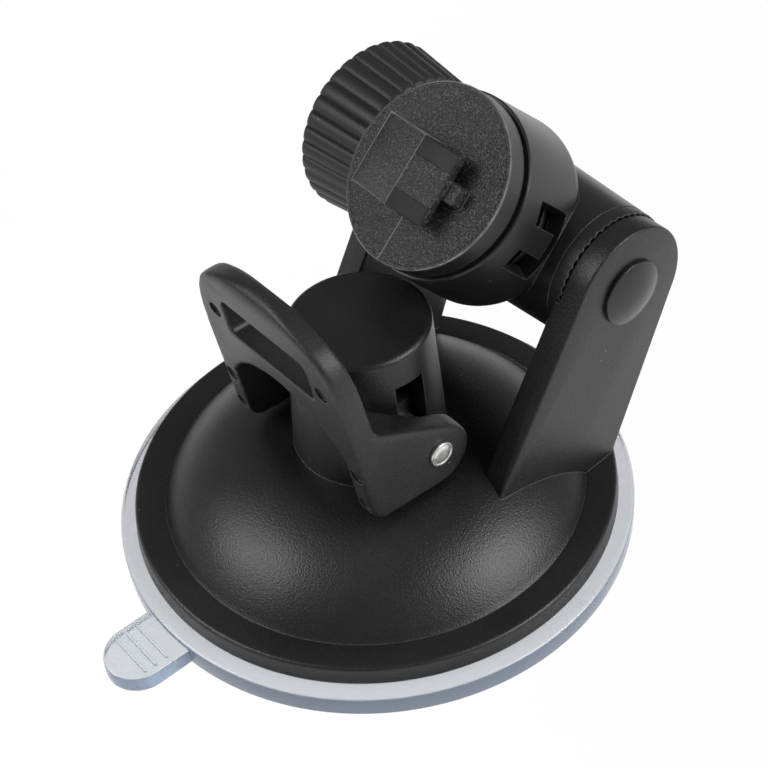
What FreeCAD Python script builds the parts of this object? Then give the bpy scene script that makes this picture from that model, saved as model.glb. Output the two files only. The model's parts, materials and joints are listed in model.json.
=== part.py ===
import FreeCAD, Part
import math
import os

# Windscreen suction mount for a dash camera, in millimetres.
# Origin: centre of the cup's flat underside.  +Z points up out of the cup, -Y towards the locking
# lever and the pull tab.  The lever pin and the hinge bolt both lie along X, the knob at -X.

V = FreeCAD.Vector
ORIGIN = V(0, 0, 0)
X_AXIS = V(1, 0, 0)
Y_AXIS = V(0, 1, 0)
Z_AXIS = V(0, 0, 1)

# Suction cup: clear disc with a thick rim, a thinner middle and a ribbed pull tab.
CUP_R = 33.0
CUP_RIM_TOP = 2.95
CUP_RIM_INNER_R = 24.5
CUP_MIDDLE_TOP = 2.0
CUP_EDGE_ROUND = 0.4
TAB_WIDTH = 8.4
TAB_TOP = 2.4
TAB_ROOT_Y = -31.5
TAB_END_Y = -37.2
TAB_RIB_Y = (-38.2, -36.8, -35.2)
TAB_RIB_LENGTH = 6.6
TAB_RIB_WIDTH = 0.35
TAB_RIB_HEIGHT = 0.25

# Base housing: flange on the cup's rim, dome, hollow post and two hinge arms.
FLANGE_R = 30.96
FLANGE_TOP_R = 30.3
FLANGE_TOP = 5.59
FLANGE_INNER_R = 25.0
BAND_INNER_R = 26.8
BAND_INNER_Z = 5.28
DOME_ARC_R = 20.9
DOME_ARC_CENTRE_R = 10.26
DOME_ARC_CENTRE_Z = -7.48
DOME_WALL = 2.2
POST_FOOT_R = 9.65
POST_TOP_R = 8.72
POST_TOP = 32.2
POST_ROUND = 0.8
POST_BORE_R = 6.5
POST_CEILING = 30.7
WINDOW_WIDTH = 4.1
WINDOW_BOTTOM = 17.3
WINDOW_TOP = 27.9

# Hinge: arms, bolt, sleeve and knob share one axis along X.
HINGE_Y = 26.2
HINGE_Z = 31.67
ARM_INNER_X = 14.9
ARM_OUTER_X = 18.6
ARM_TOP_R = 8.5
ARM_FRONT_FOOT = (2.4, 7.43)
ARM_REAR_FOOT = (23.4, 3.8)
ARM_SEAT_R = 8.95
ARM_SEAT_X = 15.7
BOLT_R = 2.0
BOLT_HOLE_R = 2.05
BOLT_END_X = -27.6
BOLT_HEAD_FLATS = 7.0
BOLT_HEAD_THICK = 2.0
BOLT_RECESS_DEPTH = 2.1
BOLT_RECESS_FLATS = 7.1
CAP_R = 4.3
CAP_EDGE = 0.5
CAP_RISE = 1.45
CAP_PEG_R = 1.2
CAP_PEG_LENGTH = 1.2
CAP_SOCKET_DEPTH = 1.3
SLEEVE_R = 3.0
WASHER_R = 5.5
WASHER_THICK = 0.6
KNOB_LENGTH = 10.2
KNOB_NEAR_R = 11.0
KNOB_FAR_R = 12.0
KNOB_ROUND = 0.9
KNOB_GROOVES = 34
KNOB_GROOVE_R = 0.5
NUT_R = 3.2
NUT_LENGTH = 8.6
NUT_INSET = 0.4

# Head: built about its own axis, then tilted and set on the hinge.
HEAD_TILT = 42.5
HEAD_DROP = 0.55
BARREL_MID_R = 9.4
BARREL_END_R = 8.8
BARREL_END_X = 13.7
SLEEVE_HOLE_R = 3.05
RING_R = 8.75
RING_INNER_R = 5.0
RING_END_X = 15.55
RING_TEETH = 48
TOOTH_DEPTH = 0.35
SHELL_FRONT = 17.45
SHELL_FRONT_R = 11.7
SHELL_BACK = 4.6
SHELL_BACK_R = 12.2
SHELL_ROUND = 2.9
SHELL_BORE_R = 9.8
SHELL_FLOOR = 8.4
LATCH_FRONT = 14.15
LATCH_BACK = 8.9
LATCH_SLIT = 1.0
LATCH_OUTER_ANGLE = 21.8
LATCH_INNER_ANGLE = 7.9
LATCH_CUT_INNER_R = 8.2
LATCH_HOOK_INNER_R = 9.2
LATCH_HOOK_TOP = 11.9
LATCH_HOOK_HALF = 0.92

# Swivel disc: turns in the head, carries the camera foot.
DISC_FACE = 20.87
DISC_R = 11.3
DISC_BEAD = 0.12
DISC_BEAD_R = 10.7
DISC_BACK = 18.05
HUB_R = 9.6
HUB_BORE_R = 6.5
HUB_BACK = 9.5
HUB_FLOOR = 16.6
HUB_GROOVE_R = 9.0
HUB_GROOVE_FRONT = 12.1
HUB_GROOVE_BACK = 9.9
FOOT_RAMP_START = -9.3
FOOT_CREASE = -0.75
FOOT_END = 5.1
FOOT_ROOT = 0.2
FOOT_HEIGHT = 3.0
FOOT_LIP = 1.35
FOOT_LOW = -5.2
FOOT_HIGH = 3.95
NECK_END = 6.7
NECK_LOW = -1.3
NECK_HIGH = 1.0
FRICTION_R = 10.9
FRICTION_HOLE_R = 9.7
WAVE_R = 9.4
WAVE_HOLE_R = 6.7

# Stem: slides in the post, carries the lever pin and lifts the middle of the cup.
STEM_R = 6.4
STEM_TOP = 22.5
CORE_R = 12.0
CORE_BOTTOM = 2.02
CORE_TOP = 3.42
SPIGOT_R = 3.0
PIN_Z = 19.5
PIN_R = 1.5
PIN_HEAD_R = 1.65
PIN_HEAD_X = 14.05
PIN_HEAD_GAP = 0.02
PIN_TAIL_X = -14.6
CLIP_R = 2.6
CLIP_THICK = 0.6
CLIP_GAP = 0.05
SPRING_WIRE_R = 0.4
SPRING_SMALL_R = 3.4
SPRING_WIDE_R = 5.2
SPRING_TURNS = 4.5
SPRING_GAP = 0.1
SPRING_POINTS_PER_TURN = 12

# Lever: fork that straddles the post and leans forward.
LEVER_HALF = 13.53
LEVER_INNER_HALF = 10.55
LEVER_PIN_HOLE_R = 1.55
PLATE_LOW_Z = 14.75
PLATE_LOW_Y = -10.09
PLATE_TOP_Z = 43.9
PLATE_TOP_Y = -14.14
PLATE_THICK = 3.15
PLATE_TOP_ROUND = 1.5
PLATE_SHOULDER_Z = 28.0
PLATE_SHOULDER_MID = (12.55, 36.6)
PLATE_CORNER = (9.6, 41.6)
HEEL_ROUND = 2.4
CHEEK_END = (0.25, 18.45)
CHEEK_END_R = 4.4
CHEEK_SLOPE = 29.2
CHEEK_FILLET = 1.5
ARCH_SPRING_Z = 24.0
ARCH_TOP_Z = 30.0
SLOT_HALF = 7.75
SLOT_LOW = 32.8
SLOT_HIGH = 38.4
SLOT_ROUND = 1.0
DIMPLE_R = 0.95
DIMPLE_DEPTH = 0.15
DIMPLES = ((11.9, 17.1), (11.9, 22.5), (9.8, 35.4))

# How far a piece is sunk into its neighbour before the two are joined.
OVERLAP = 0.5


def on_xz(point):
    return V(point[0], 0, point[1])


def on_yz(point):
    return V(0, point[0], point[1])


def profile(place, start, steps):
    """Face bounded by steps from start: (p,) goes straight to p, (m, p) is an arc through m to p."""
    edges = []
    here = start
    for step in steps:
        there = step[-1]
        if len(step) == 1:
            edges.append(Part.makeLine(place(here), place(there)))
        else:
            edges.append(Part.Arc(place(here), place(step[0]), place(there)).toShape())
        here = there
    if here != start:
        edges.append(Part.makeLine(place(here), place(start)))
    return Part.Face(Part.Wire(edges))


def rounded(place, corners):
    """Face with straight sides between (u, v, radius) corners, each rounded by its radius."""
    steps = []
    for i, (u, v, radius) in enumerate(corners):
        if radius == 0:
            steps.append(((u, v),))
            continue
        corner = V(u, v, 0)
        before = corners[i - 1]
        after = corners[(i + 1) % len(corners)]
        back = (V(before[0], before[1], 0) - corner).normalize()
        on = (V(after[0], after[1], 0) - corner).normalize()
        half = back.getAngle(on) / 2
        start = corner + back * (radius / math.tan(half))
        middle = corner + (back + on).normalize() * (radius / math.sin(half) - radius)
        end = corner + on * (radius / math.tan(half))
        steps.append(((start.x, start.y),))
        steps.append(((middle.x, middle.y), (end.x, end.y)))
    return profile(place, steps[-1][-1], steps)


def turned(start, steps):
    """Solid turned about Z from a profile given as (radius, height)."""
    return profile(on_xz, start, steps).revolve(ORIGIN, Z_AXIS, 360)


def rod(radius, start_x, end_x, y=0.0, z=0.0):
    """Cylinder along X from start_x to the larger end_x."""
    return Part.makeCylinder(radius, end_x - start_x, V(start_x, y, z), X_AXIS)


def tube(radius, hole_radius, low, high):
    """Upright tube about Z."""
    body = Part.makeCylinder(radius, high - low, V(0, 0, low))
    return body.cut(Part.makeCylinder(hole_radius, high - low, V(0, 0, low)))


def box(low, high):
    """Box between two opposite corners."""
    size = V(*high) - V(*low)
    return Part.makeBox(size.x, size.y, size.z, V(*low))


def hexagon(flats, start_x, end_x):
    """Hexagonal prism along the hinge axis, measured across its flats."""
    corner_r = flats / math.sqrt(3)
    corners = []
    for i in range(7):
        angle = math.radians(60 * i)
        y = HINGE_Y + corner_r * math.cos(angle)
        z = HINGE_Z + corner_r * math.sin(angle)
        corners.append(V(start_x, y, z))
    return Part.Face(Part.makePolygon(corners)).extrude(V(end_x - start_x, 0, 0))


def hinge_rod(radius, start_x, end_x):
    return rod(radius, start_x, end_x, HINGE_Y, HINGE_Z)


def on_hinge(shape):
    """Turn a shape built about the head's own Z axis to where the head sits."""
    turn = FreeCAD.Rotation(X_AXIS, HEAD_TILT)
    origin = V(0, HINGE_Y, HINGE_Z) + turn.multVec(V(0, -HEAD_DROP, 0))
    placed = shape.copy()
    placed.Placement = FreeCAD.Placement(origin, turn)
    return placed


def dome_z(radius, wall=0.0):
    """Height of the dome's surface at a radius from Z, or of its underside for a wall thickness."""
    arc_r = DOME_ARC_R - wall
    return DOME_ARC_CENTRE_Z + math.sqrt(arc_r ** 2 - (radius - DOME_ARC_CENTRE_R) ** 2)


def tangent_point(foot, side):
    """Where the arm's straight edge from foot meets the round top; side is 1 in front, -1 behind."""
    run = math.dist(foot, (HINGE_Y, HINGE_Z))
    to_foot = math.atan2(foot[1] - HINGE_Z, foot[0] - HINGE_Y)
    angle = to_foot - side * math.acos(ARM_TOP_R / run)
    return (HINGE_Y + ARM_TOP_R * math.cos(angle), HINGE_Z + ARM_TOP_R * math.sin(angle))


def suction_cup():
    round_in = CUP_R - CUP_EDGE_ROUND
    round_mid = CUP_R - CUP_EDGE_ROUND * (1 - math.sqrt(0.5))
    round_low = CUP_RIM_TOP - CUP_EDGE_ROUND
    disc = turned((0, 0), [
        ((CUP_R, 0),),
        ((CUP_R, round_low),),
        ((round_mid, round_low + CUP_EDGE_ROUND * math.sqrt(0.5)), (round_in, CUP_RIM_TOP)),
        ((CUP_RIM_INNER_R, CUP_RIM_TOP),),
        ((CUP_RIM_INNER_R, CUP_MIDDLE_TOP),),
        ((0, CUP_MIDDLE_TOP),),
    ])
    tab = box((-TAB_WIDTH / 2, TAB_END_Y, 0), (TAB_WIDTH / 2, TAB_ROOT_Y, TAB_TOP))
    tab = tab.fuse(Part.makeCylinder(TAB_WIDTH / 2, TAB_TOP, V(0, TAB_END_Y, 0)))
    ribs = []
    for y in TAB_RIB_Y:
        low = (-TAB_RIB_LENGTH / 2, y - TAB_RIB_WIDTH / 2, TAB_TOP / 2)
        high = (TAB_RIB_LENGTH / 2, y + TAB_RIB_WIDTH / 2, TAB_TOP + TAB_RIB_HEIGHT)
        ribs.append(box(low, high))
    return disc.fuse([tab] + ribs).removeSplitter()


def base_shell():
    """Flange, dome and post turned as one hollow shell."""
    post_side_r = POST_TOP_R + (POST_FOOT_R - POST_TOP_R) * POST_ROUND / (POST_TOP - dome_z(POST_FOOT_R))
    round_inset = POST_ROUND * (1 - math.sqrt(0.5))
    dome_mid_r = (BAND_INNER_R + POST_FOOT_R) / 2
    under_mid_r = (FLANGE_INNER_R + POST_BORE_R) / 2
    return turned((FLANGE_INNER_R, CUP_RIM_TOP), [
        ((FLANGE_R, CUP_RIM_TOP),),
        ((FLANGE_R - 0.2, FLANGE_TOP - 0.5),),
        ((FLANGE_TOP_R, FLANGE_TOP),),
        ((BAND_INNER_R, BAND_INNER_Z),),
        ((dome_mid_r, dome_z(dome_mid_r)), (POST_FOOT_R, dome_z(POST_FOOT_R))),
        ((post_side_r, POST_TOP - POST_ROUND),),
        ((POST_TOP_R - round_inset, POST_TOP - round_inset), (POST_TOP_R - POST_ROUND, POST_TOP)),
        ((0, POST_TOP),),
        ((0, POST_CEILING),),
        ((POST_BORE_R, POST_CEILING),),
        ((POST_BORE_R, dome_z(POST_BORE_R, DOME_WALL)),),
        ((under_mid_r, dome_z(under_mid_r, DOME_WALL)), (FLANGE_INNER_R, dome_z(FLANGE_INNER_R, DOME_WALL))),
    ])


def arm(inner_x):
    """One hinge arm, straight-sided, with a round top about the hinge axis."""
    front = tangent_point(ARM_FRONT_FOOT, 1)
    rear = tangent_point(ARM_REAR_FOOT, -1)
    lean = math.atan2(front[1] + rear[1] - 2 * HINGE_Z, front[0] + rear[0] - 2 * HINGE_Y)
    top = (HINGE_Y + ARM_TOP_R * math.cos(lean), HINGE_Z + ARM_TOP_R * math.sin(lean))
    if top[1] < HINGE_Z:
        top = (2 * HINGE_Y - top[0], 2 * HINGE_Z - top[1])
    side = profile(on_yz, ARM_FRONT_FOOT, [(front,), (top, rear), (ARM_REAR_FOOT,)])
    side.translate(V(inner_x, 0, 0))
    return side.extrude(V(ARM_OUTER_X - ARM_INNER_X, 0, 0))


def under_dome():
    """Space below the dome's underside, kept clear of the arms' feet."""
    mid_r = FLANGE_INNER_R / 2
    return turned((0, CUP_RIM_TOP), [
        ((FLANGE_INNER_R, CUP_RIM_TOP),),
        ((FLANGE_INNER_R, dome_z(FLANGE_INNER_R, DOME_WALL)),),
        ((mid_r, dome_z(mid_r, DOME_WALL)), (DOME_ARC_CENTRE_R, dome_z(DOME_ARC_CENTRE_R, DOME_WALL))),
        ((0, dome_z(DOME_ARC_CENTRE_R, DOME_WALL)),),
    ])


def base_housing():
    arms = arm(ARM_INNER_X).fuse(arm(-ARM_OUTER_X)).cut(under_dome())
    body = base_shell().fuse(arms)
    half = WINDOW_WIDTH / 2
    window = box((-POST_FOOT_R, -half, WINDOW_BOTTOM), (POST_FOOT_R, half, WINDOW_TOP))
    bolt_hole = hinge_rod(BOLT_HOLE_R, -ARM_OUTER_X, ARM_OUTER_X)
    ring_seats = hinge_rod(ARM_SEAT_R, -ARM_SEAT_X, ARM_SEAT_X)
    recess = hexagon(BOLT_RECESS_FLATS, ARM_OUTER_X - BOLT_RECESS_DEPTH, ARM_OUTER_X)
    return body.cut([window, bolt_hole, ring_seats, recess]).removeSplitter()


def hinge_bolt():
    head_x = ARM_OUTER_X - BOLT_RECESS_DEPTH
    shank = hinge_rod(BOLT_R, BOLT_END_X, head_x)
    head = hexagon(BOLT_HEAD_FLATS, head_x, head_x + BOLT_HEAD_THICK)
    socket = hinge_rod(CAP_PEG_R, ARM_OUTER_X - CAP_SOCKET_DEPTH, ARM_OUTER_X)
    return shank.fuse(head).cut(socket).removeSplitter()


def bolt_cap():
    crown = CAP_RISE - CAP_EDGE
    sphere_r = (CAP_R ** 2 + crown ** 2) / (2 * crown)
    mid_z = CAP_RISE - sphere_r + math.sqrt(sphere_r ** 2 - (CAP_R / 2) ** 2)
    dome = turned((0, 0), [
        ((CAP_R, 0),),
        ((CAP_R, CAP_EDGE),),
        ((CAP_R / 2, mid_z), (0, CAP_RISE)),
    ])
    dome.Placement = FreeCAD.Placement(V(ARM_OUTER_X, HINGE_Y, HINGE_Z), FreeCAD.Rotation(Y_AXIS, 90))
    peg = hinge_rod(CAP_PEG_R, ARM_OUTER_X - CAP_PEG_LENGTH, ARM_OUTER_X)
    return dome.fuse(peg).removeSplitter()


def hinge_tube(radius, hole_radius, start_x, end_x):
    return hinge_rod(radius, start_x, end_x).cut(hinge_rod(hole_radius, start_x, end_x))


def knob():
    """Grip with narrow grooves, bored for its nut; built along Z, then laid along -X."""
    round_mid = KNOB_ROUND * (1 - math.sqrt(0.5))
    grip = turned((0, 0), [
        ((KNOB_NEAR_R - KNOB_ROUND, 0),),
        ((KNOB_NEAR_R - round_mid, round_mid), (KNOB_NEAR_R, KNOB_ROUND)),
        ((KNOB_FAR_R, KNOB_LENGTH - KNOB_ROUND),),
        ((KNOB_FAR_R - round_mid, KNOB_LENGTH - round_mid), (KNOB_FAR_R - KNOB_ROUND, KNOB_LENGTH)),
        ((0, KNOB_LENGTH),),
    ])
    flare = math.degrees(math.atan((KNOB_FAR_R - KNOB_NEAR_R) / KNOB_LENGTH))
    cutter = Part.makeCylinder(KNOB_GROOVE_R, KNOB_LENGTH)
    cutter.Placement = FreeCAD.Placement(V(KNOB_NEAR_R, 0, 0), FreeCAD.Rotation(Y_AXIS, flare))
    cutters = []
    for i in range(KNOB_GROOVES):
        groove = cutter.copy()
        groove.rotate(ORIGIN, Z_AXIS, 360.0 * i / KNOB_GROOVES)
        cutters.append(groove)
    bore = Part.makeCylinder(NUT_R, NUT_LENGTH + NUT_INSET)
    grip = grip.cut(cutters + [bore])
    near_face = V(-ARM_OUTER_X - WASHER_THICK, HINGE_Y, HINGE_Z)
    grip.Placement = FreeCAD.Placement(near_face, FreeCAD.Rotation(Y_AXIS, -90))
    return grip


def knob_nut():
    start_x = -ARM_OUTER_X - WASHER_THICK - NUT_INSET
    return hinge_tube(NUT_R, BOLT_HOLE_R, start_x - NUT_LENGTH, start_x)


def latch_wedge(low_angle, high_angle, low, high):
    """Radial block through the shell's wall at +X between two angles about the head's axis."""
    reach = 2 * SHELL_BACK_R
    corners = [V(0, 0, low)]
    for angle in (low_angle, high_angle):
        turn = math.radians(angle)
        corners.append(V(reach * math.cos(turn), reach * math.sin(turn), low))
    corners.append(corners[0])
    wedge = Part.Face(Part.makePolygon(corners)).extrude(V(0, 0, high - low))
    return wedge.cut(Part.makeCylinder(LATCH_CUT_INNER_R, high - low, V(0, 0, low)))


def latch_cuts():
    """Two windows joined by a rear slit: they leave a springy tongue in the shell's wall."""
    windows = [
        latch_wedge(LATCH_INNER_ANGLE, LATCH_OUTER_ANGLE, LATCH_BACK, LATCH_FRONT),
        latch_wedge(-LATCH_OUTER_ANGLE, -LATCH_INNER_ANGLE, LATCH_BACK, LATCH_FRONT),
        latch_wedge(-LATCH_OUTER_ANGLE, LATCH_OUTER_ANGLE, LATCH_BACK, LATCH_BACK + LATCH_SLIT),
    ]
    cuts = []
    for window in windows:
        other = window.copy()
        other.rotate(ORIGIN, Z_AXIS, 180)
        cuts += [window, other]
    return cuts


def barrel():
    """Hinge barrel: two cones that narrow from the middle to the ends."""
    middle = V(0, HINGE_Y, HINGE_Z)
    right = Part.makeCone(BARREL_MID_R, BARREL_END_R, BARREL_END_X, middle, X_AXIS)
    left = Part.makeCone(BARREL_MID_R, BARREL_END_R, BARREL_END_X, middle, V(-1, 0, 0))
    return right.fuse(left)


def head_housing():
    """Cup for the swivel disc with the hinge barrel across its back."""
    shell = rounded(on_xz, [
        (0, SHELL_BACK, 0),
        (SHELL_BACK_R, SHELL_BACK, SHELL_ROUND),
        (SHELL_FRONT_R, SHELL_FRONT, 0),
        (SHELL_BORE_R, SHELL_FRONT, 0),
        (SHELL_BORE_R, SHELL_FLOOR, 0),
        (0, SHELL_FLOOR, 0),
    ]).revolve(ORIGIN, Z_AXIS, 360)
    hook_low = LATCH_BACK + LATCH_SLIT
    hook_ring = tube(SHELL_BORE_R + OVERLAP, LATCH_HOOK_INNER_R, hook_low, LATCH_HOOK_TOP)
    across = box((-SHELL_BACK_R, -LATCH_HOOK_HALF, 0), (SHELL_BACK_R, LATCH_HOOK_HALF, SHELL_FRONT))
    hooks = hook_ring.common(across)
    shell = on_hinge(shell.fuse(hooks).cut(latch_cuts()))
    cavity = on_hinge(Part.makeCylinder(SHELL_BORE_R, SHELL_FRONT, V(0, 0, SHELL_FLOOR)))
    sleeve_hole = hinge_rod(SLEEVE_HOLE_R, -BARREL_END_X, BARREL_END_X)
    return shell.fuse(barrel().cut(cavity)).cut(sleeve_hole).removeSplitter()


def tooth_ring(side):
    """Serrated ring on one end of the barrel; side is 1 at +X and -1 at -X."""
    ring = tube(RING_R, RING_INNER_R, BARREL_END_X, RING_END_X)
    half_pitch = RING_R * math.sin(math.pi / RING_TEETH)
    notch = profile(on_yz, (-half_pitch, RING_END_X), [
        ((0, RING_END_X - TOOTH_DEPTH),),
        ((half_pitch, RING_END_X),),
    ]).extrude(V(2 * RING_R, 0, 0))
    notches = []
    for i in range(RING_TEETH):
        cut = notch.copy()
        cut.rotate(ORIGIN, Z_AXIS, 360.0 * i / RING_TEETH)
        notches.append(cut)
    ring = ring.cut(notches)
    ring.Placement = FreeCAD.Placement(V(0, HINGE_Y, HINGE_Z), FreeCAD.Rotation(Y_AXIS, side * 90))
    return ring


def camera_foot():
    """Ramp, flat lip and neck that hook into the camera's slot."""
    top = DISC_FACE + FOOT_HEIGHT
    lip = top - FOOT_LIP
    side = profile(on_xz, (FOOT_RAMP_START, DISC_FACE), [
        ((FOOT_CREASE, top),),
        ((FOOT_END, top),),
        ((FOOT_END, lip),),
        ((FOOT_ROOT, lip),),
        ((FOOT_ROOT, DISC_FACE),),
    ])
    side.translate(V(0, FOOT_LOW, 0))
    hook = side.extrude(V(0, FOOT_HIGH - FOOT_LOW, 0))
    neck = box((FOOT_ROOT - OVERLAP, NECK_LOW, DISC_FACE - OVERLAP), (NECK_END, NECK_HIGH, lip))
    return hook.fuse(neck)


def swivel_disc():
    """Disc, hub and camera foot in one moulding."""
    disc = turned((0, HUB_FLOOR), [
        ((HUB_BORE_R, HUB_FLOOR),),
        ((HUB_BORE_R, HUB_BACK),),
        ((HUB_R, HUB_BACK),),
        ((HUB_R, HUB_GROOVE_BACK),),
        ((HUB_GROOVE_R, HUB_GROOVE_BACK),),
        ((HUB_GROOVE_R, HUB_GROOVE_FRONT),),
        ((HUB_R, HUB_GROOVE_FRONT),),
        ((HUB_R, DISC_BACK),),
        ((DISC_R, DISC_BACK),),
        ((DISC_R, DISC_FACE - DISC_BEAD),),
        ((DISC_R - DISC_BEAD, DISC_FACE + DISC_BEAD),),
        ((DISC_BEAD_R, DISC_FACE + DISC_BEAD),),
        ((DISC_BEAD_R - DISC_BEAD, DISC_FACE),),
        ((0, DISC_FACE),),
    ])
    return on_hinge(disc.fuse(camera_foot()).removeSplitter())


def friction_ring():
    """Soft ring squeezed between the disc and the head's front edge."""
    return on_hinge(tube(FRICTION_R, FRICTION_HOLE_R, SHELL_FRONT, DISC_BACK))


def wave_washer():
    """Spring washer between the hub and the floor of the head."""
    return on_hinge(tube(WAVE_R, WAVE_HOLE_R, SHELL_FLOOR, HUB_BACK))


def plunger_stem():
    stem = Part.makeCylinder(STEM_R, STEM_TOP - CORE_TOP, V(0, 0, CORE_TOP))
    stem = stem.fuse(Part.makeCylinder(SPIGOT_R, CORE_TOP - CORE_BOTTOM, V(0, 0, CORE_BOTTOM)))
    return stem.cut(rod(PIN_R, -STEM_R, STEM_R, 0, PIN_Z)).removeSplitter()


def stem_spring():
    """Cone spring that pushes the stem down; its wide end sits against the post's ceiling."""
    low = STEM_TOP + SPRING_WIRE_R + SPRING_GAP
    height = POST_CEILING - SPRING_WIRE_R - SPRING_GAP - low
    count = round(SPRING_TURNS * SPRING_POINTS_PER_TURN)
    points = []
    for i in range(count + 1):
        share = i / count
        angle = 2 * math.pi * SPRING_TURNS * share
        radius = SPRING_SMALL_R + (SPRING_WIDE_R - SPRING_SMALL_R) * share
        points.append(V(radius * math.cos(angle), radius * math.sin(angle), low + height * share))
    curve = Part.BSplineCurve()
    curve.interpolate(points)
    start_direction = curve.tangent(curve.FirstParameter)[0]
    section = Part.Wire(Part.makeCircle(SPRING_WIRE_R, points[0], start_direction))
    return Part.Wire(curve.toShape()).makePipeShell([section], True, True)


def lever_pin():
    shank = rod(PIN_R, PIN_TAIL_X, PIN_HEAD_X, 0, PIN_Z)
    head = rod(PIN_HEAD_R, LEVER_HALF + PIN_HEAD_GAP, PIN_HEAD_X, 0, PIN_Z)
    return shank.fuse(head).removeSplitter()


def pin_clip():
    start_x = -LEVER_HALF - CLIP_GAP - CLIP_THICK
    ring = rod(CLIP_R, start_x, start_x + CLIP_THICK, 0, PIN_Z)
    return ring.cut(rod(PIN_R, start_x, start_x + CLIP_THICK, 0, PIN_Z))


def plate_y(z):
    """Where the lever's leaning front face lies at a height."""
    lean = (PLATE_TOP_Y - PLATE_LOW_Y) / (PLATE_TOP_Z - PLATE_LOW_Z)
    return PLATE_LOW_Y + lean * (z - PLATE_LOW_Z)


def lever_body():
    """Leaning plate with a cheek reaching back to the pin, as wide as the whole lever."""
    slope = math.radians(CHEEK_SLOPE)
    end_top_y = CHEEK_END[0] + CHEEK_END_R * math.sin(slope)
    end_top_z = CHEEK_END[1] + CHEEK_END_R * math.cos(slope)
    lean = (PLATE_TOP_Y - PLATE_LOW_Y) / (PLATE_TOP_Z - PLATE_LOW_Z)
    back_y = plate_y(end_top_z) + PLATE_THICK
    corner_z = end_top_z + (end_top_y - back_y) * math.tan(slope) / (1 + lean * math.tan(slope))
    side = rounded(on_yz, [
        (PLATE_LOW_Y, PLATE_LOW_Z, HEEL_ROUND),
        (PLATE_TOP_Y, PLATE_TOP_Z, PLATE_TOP_ROUND),
        (PLATE_TOP_Y + PLATE_THICK, PLATE_TOP_Z, PLATE_TOP_ROUND),
        (plate_y(corner_z) + PLATE_THICK, corner_z, CHEEK_FILLET),
        (end_top_y, end_top_z, 0),
        (CHEEK_END[0], CHEEK_END[1] - CHEEK_END_R, 0),
    ])
    side.translate(V(-LEVER_HALF, 0, 0))
    end = rod(CHEEK_END_R, -LEVER_HALF, LEVER_HALF, *CHEEK_END)
    return side.extrude(V(2 * LEVER_HALF, 0, 0)).fuse(end)


def lever_front():
    """Lever seen from the front, without its openings."""
    half = LEVER_HALF
    corner = PLATE_CORNER
    return profile(on_xz, (-half, 0), [
        ((-half, PLATE_SHOULDER_Z),),
        ((-PLATE_SHOULDER_MID[0], PLATE_SHOULDER_MID[1]), (-corner[0], corner[1])),
        ((0, PLATE_TOP_Z), corner),
        (PLATE_SHOULDER_MID, (half, PLATE_SHOULDER_Z)),
        ((half, 0),),
    ])


def lever_arch():
    """Opening between the legs, round at the top."""
    half = LEVER_INNER_HALF
    return profile(on_xz, (-half, 0), [
        ((-half, ARCH_SPRING_Z),),
        ((0, ARCH_TOP_Z), (half, ARCH_SPRING_Z)),
        ((half, 0),),
    ])


def lever_slot():
    """Rounded slot through the upper plate."""
    return rounded(on_xz, [
        (-SLOT_HALF, SLOT_LOW, SLOT_ROUND),
        (SLOT_HALF, SLOT_LOW, SLOT_ROUND),
        (SLOT_HALF, SLOT_HIGH, SLOT_ROUND),
        (-SLOT_HALF, SLOT_HIGH, SLOT_ROUND),
    ])


def through_y(face):
    """Extrude a face on the XZ plane through the whole depth of the lever."""
    moved = face.copy()
    moved.translate(V(0, 2 * PLATE_TOP_Y, 0))
    return moved.extrude(V(0, -4 * PLATE_TOP_Y, 0))


def lever():
    body = lever_body().common(through_y(lever_front()))
    cuts = [through_y(lever_arch()), through_y(lever_slot())]
    cuts.append(rod(LEVER_PIN_HOLE_R, -LEVER_HALF, LEVER_HALF, 0, PIN_Z))
    for x, z in DIMPLES:
        for side_x in (-x, x):
            start = V(side_x, plate_y(z) - DIMPLE_R, z)
            cuts.append(Part.makeCylinder(DIMPLE_R, DIMPLE_R + DIMPLE_DEPTH, start, Y_AXIS))
    return body.cut(cuts).removeSplitter()


PARTS = {
    "suction_cup": suction_cup(),
    "cup_core": tube(CORE_R, SPIGOT_R, CORE_BOTTOM, CORE_TOP),
    "base_housing": base_housing(),
    "plunger_stem": plunger_stem(),
    "stem_spring": stem_spring(),
    "lever_pin": lever_pin(),
    "pin_clip": pin_clip(),
    "lever": lever(),
    "hinge_bolt": hinge_bolt(),
    "bolt_cap": bolt_cap(),
    "hinge_sleeve": hinge_tube(SLEEVE_R, BOLT_HOLE_R, -ARM_SEAT_X, ARM_SEAT_X),
    "knob_washer": hinge_tube(WASHER_R, BOLT_HOLE_R, -ARM_OUTER_X - WASHER_THICK, -ARM_OUTER_X),
    "knob": knob(),
    "knob_nut": knob_nut(),
    "head_housing": head_housing(),
    "tooth_ring_left": tooth_ring(-1),
    "tooth_ring_right": tooth_ring(1),
    "swivel_disc": swivel_disc(),
    "friction_ring": friction_ring(),
    "wave_washer": wave_washer(),
}

os.makedirs("parts", exist_ok=True)
for name, shape in PARTS.items():
    shape.exportStep("parts/" + name + ".step")
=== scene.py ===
import json
import math

import bmesh
import bpy
from mathutils import Matrix, Vector


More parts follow.
